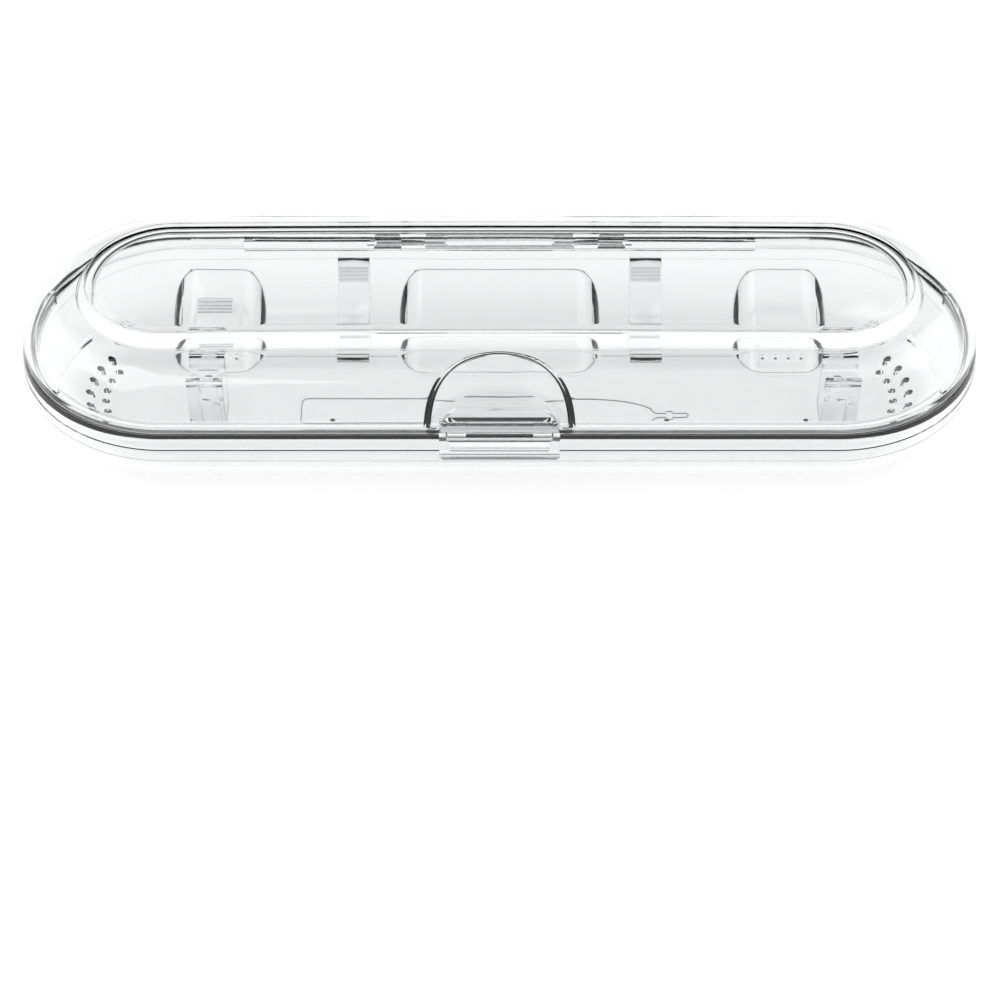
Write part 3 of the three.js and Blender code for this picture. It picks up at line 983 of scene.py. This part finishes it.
class CASE_OT_pins(bpy.types.Operator):
    """Turn the clasp pin and draw the two wire hinge pins"""

    bl_idname = "toothbrush_case.pins"
    bl_label = "Pins"

    def turned(self, radius, low, high, centre, chamfer):
        """A pin along x with chamfered, slightly domed ends."""
        steps = 48
        rings = [
            (low, 0.0), (low + chamfer * 0.15, radius * 0.55), (low + chamfer * 0.4, radius * 0.85),
            (low + chamfer, radius), ((low + high) / 2, radius), (high - chamfer, radius),
            (high - chamfer * 0.4, radius * 0.85), (high - chamfer * 0.15, radius * 0.55), (high, 0.0),
        ]
        verts, faces = [], []
        for x, r in rings:
            for i in range(steps):
                turn = math.tau * i / steps
                verts.append((x, centre.y + r * math.cos(turn), centre.z + r * math.sin(turn)))
        for k in range(len(rings) - 1):
            for i in range(steps):
                a, b = k * steps + i, k * steps + (i + 1) % steps
                faces.append((a, b, b + steps, a + steps))
        return mesh_object("pin", verts, faces)

    def execute(self, context):
        low, high = box_mm("clasp_pin")
        steel = drawn_steel("drawn_pin_steel", tuple(finishes(context).pin_tint))
        pin = self.turned(CLASP_PIN_R, low.x, high.x, CLASP_AXIS, 0.4)
        dress(pin, "steel_clasp_pin", "lid", ["clasp_pin"], steel)
        for side in ("left", "right"):
            low, high = box_mm(f"hinge_pin_{side}")
            wire = self.turned(HINGE_PIN_R, low.x, high.x, HINGE, 0.25)
            dress(wire, f"wire_hinge_pin_{side}", "tray", [f"hinge_pin_{side}"], steel)
        return {"FINISHED"}


def ribbed_pad(x0, x1, start, end, thick=0.7, ribs=4):
    """A thin pad along x between two [y, z] points, with half-round ribs on its upper side."""
    run = (end - start).normalized()
    length = (end - start).length
    outline = [(0, 0.05), (0, thick)]
    for i in range(ribs):
        outline += arc((length * (i + 0.5) / ribs, thick), (length / ribs * 0.4, 0.35), 180, 0, 6)
    outline += [(length, thick), (length, 0.05)]
    return prism(outline, x0, x1, (0, *run), (0, -run.y, run.x), (1, 0, 0), (0, *start))


class CASE_OT_clips(bpy.types.Operator):
    """Mould the two brush-head clips"""

    bl_idname = "toothbrush_case.clips"
    bl_label = "Brush Head Clips"

    def guide_rib(self, middle, front):
        """The tapered guide rib down the outside of the front prong."""
        rib = rounded(GUIDE_RIB, 0.5, 4)
        origin = (middle + GUIDE_RIB_X, 0, 0)
        return prism(rib, -front - 0.4, -front + 0.35, (1, 0, 0), (0, 0, 1), (0, -1, 0), origin)

    def wall_pad(self):
        """The ribbed pad lying on the left dished flat, in line with the left clip."""
        low, high = box_mm("brush_head_clip_left")
        slope = Vector(DISH_HIGH) - Vector(DISH_LOW)
        start, end = (Vector(DISH_LOW) + slope.normalized() * reach for reach in WALL_PAD_REACH)
        pad = ribbed_pad(low.x - WALL_PAD_SHIFT, high.x - WALL_PAD_SHIFT, start, end, WALL_PAD_THICK)
        dress(pad, "ribbed_wall_pad", "tray", [], pad_material())

    def execute(self, context):
        self.wall_pad()
        for side in ("left", "right"):
            low, high = box_mm(f"brush_head_clip_{side}")
            prong, bead = CLIP_PRONG, CLIP_BEAD
            foot, front, back, top = low.z, low.y, high.y, high.z
            section = rounded([
                (front, foot), (back, foot), (back, top), (back - prong, top),
                (back - prong, CLIP_BEAD_TOP_Z), (back - prong - bead, CLIP_BEAD_Z),
                (back - prong, CLIP_BEAD_LOW_Z), (back - prong, foot + prong),
                (front + prong, foot + prong), (front + prong, CLIP_BEAD_LOW_Z),
                (front + prong + bead, CLIP_BEAD_Z), (front + prong, CLIP_BEAD_TOP_Z),
                (front + prong, top), (front, top),
            ], 0.4, 4)
            clip = along_x(section, low.x, high.x)
            middle = (low.x + high.x) / 2
            slot = rounded(CLIP_NOTCH, 0.8, 5)
            notch = prism(slot, 0, 30, (1, 0, 0), (0, 0, 1), (0, -1, 0), (middle, 0, 0))
            cut(clip, notch)
            add(clip, self.guide_rib(middle, front))
            soften(clip, 0.15 * MM)
            dress(
                clip, f"clear_brush_head_clip_{side}", "tray", [f"brush_head_clip_{side}"],
                insert_material(context),
            )
        return {"FINISHED"}


class CASE_OT_rests(bpy.types.Operator):
    """Mould the two curved handle rests with their gripping ridges"""

    bl_idname = "toothbrush_case.rests"
    bl_label = "Handle Rests"

    def execute(self, context):
        wall = sizes(context).wall / MM
        for side in ("left", "right"):
            low, high = box_mm(f"handle_rest_{side}")
            outer_r, outer_z = TRAY_IN_R - FLOOR_R - GAP, RIM_Z - wall - GAP
            top = -math.degrees(math.asin((RIM_Z - high.z) / outer_z))
            inner = (outer_r - REST_THICK, outer_z - REST_THICK)
            wall_side = arc((FLOOR_R, RIM_Z), (outer_r, outer_z), REST_FOOT_TURN, top, 30)
            handle_side = arc((FLOOR_R, RIM_Z), inner, REST_FOOT_TURN, top - REST_TIP_TURN, 30)
            grip = [Vector(point) for point in (handle_side[-6], handle_side[-1])]
            pad = ribbed_pad(low.x + 0.3, high.x - 0.3, *grip)
            dress(pad, f"ribbed_rest_grip_{side}", "tray", [], pad_material())
            crest = Vector(wall_side[-1]).lerp(Vector(handle_side[-1]), 0.5) + Vector((0, REST_CREST))
            tip = rounded_steps(wall_side[-1], crest, handle_side[-1], 6)
            rest = along_x(wall_side + tip[1:-1] + handle_side[::-1], low.x, high.x)
            soften(rest, 0.2 * MM, 2, 60)
            dress(
                rest, f"clear_handle_rest_{side}", "tray", [f"handle_rest_{side}"],
                insert_material(context),
            )
        return {"FINISHED"}


class CASE_OT_mark(bpy.types.Operator):
    """Raise the toothbrush outline on the tray's floor"""

    bl_idname = "toothbrush_case.mark"
    bl_label = "Toothbrush Mark"

    def outline(self):
        """Half outline of a powered toothbrush, along x with its axis at y = 0."""
        top = [(-46.4, 0.0), *arc((-44.9, 4.7), (1.5, 1.5), 180, 90, 5), (8, 6.2), (22, 6.0)]
        top += rounded_steps((22, 6.0), (31.5, 5.4), (35.4, 2.6), 8)
        top += rounded_steps((35.4, 2.6), (35.9, 1.0), (37.0, 0.75), 4)
        top += [(38.9, 0.75), (38.9, 1.5), (40.5, 1.5), (40.5, 0.75)]
        top += arc((43.4, 0), (0.75, 0.75), 90, 0, 5)
        return top

    def execute(self, context):
        size = sizes(context)
        wall, width = size.wall / MM, size.mark_width / MM
        half = self.outline()
        loop = half + [(x, -y) for x, y in half[-2:0:-1]]
        count = len(loop)
        low, high = wall - 0.05, wall + MARK_RISE
        verts, faces = [], []
        for i, point in enumerate(loop):
            here = Vector(point)
            forward = (Vector(loop[(i + 1) % count]) - Vector(loop[i - 1])).normalized()
            side = Vector((forward.y, -forward.x)) * width / 2
            for reach, z in ((1, low), (0.7, high), (-0.7, high), (-1, low)):
                place = here + side * reach
                verts.append((place.x, place.y + MARK_Y, z))
        for i in range(count):
            a, b = 4 * i, 4 * ((i + 1) % count)
            faces += [(a + k, a + (k + 1) % 4, b + (k + 1) % 4, b + k) for k in range(4)]
        mark = mesh_object("mark", verts, faces)
        dress(mark, "raised_toothbrush_mark", "tray", [], dark_line_material())
        return {"FINISHED"}


class CASE_PT_panel(bpy.types.Panel):
    """Lists the pieces of the case in build order"""

    bl_idname = "CASE_PT_panel"
    bl_label = "Clear Toothbrush Case"
    bl_space_type = "VIEW_3D"
    bl_region_type = "UI"
    bl_category = "Toothbrush Case"

    def draw(self, context):
        column = self.layout.column()
        for group in (sizes(context), finishes(context)):
            for name in group.bl_rna.properties.keys():
                if name not in ("rna_type", "name"):
                    column.prop(group, name)
        for operator in OPERATORS:
            column.operator(operator.bl_idname)


OPERATORS = (
    CASE_OT_stage, CASE_OT_tray, CASE_OT_lid, CASE_OT_clasp,
    CASE_OT_pins, CASE_OT_clips, CASE_OT_rests, CASE_OT_mark,
)
CLASSES = (CaseSizes, CaseFinishes, *OPERATORS, CASE_PT_panel)


def register():
    for cls in CLASSES:
        bpy.utils.register_class(cls)
    bpy.types.Scene.case_sizes = PointerProperty(type=CaseSizes)
    bpy.types.Scene.case_finishes = PointerProperty(type=CaseFinishes)


def unregister():
    del bpy.types.Scene.case_finishes
    del bpy.types.Scene.case_sizes
    for cls in reversed(CLASSES):
        bpy.utils.unregister_class(cls)


def main():
    register()
    build = bpy.ops.toothbrush_case
    build.stage()
    build.tray()
    build.lid()
    build.clasp()
    build.pins()
    build.clips()
    build.rests()
    build.mark()


if __name__ == "__main__":
    main()
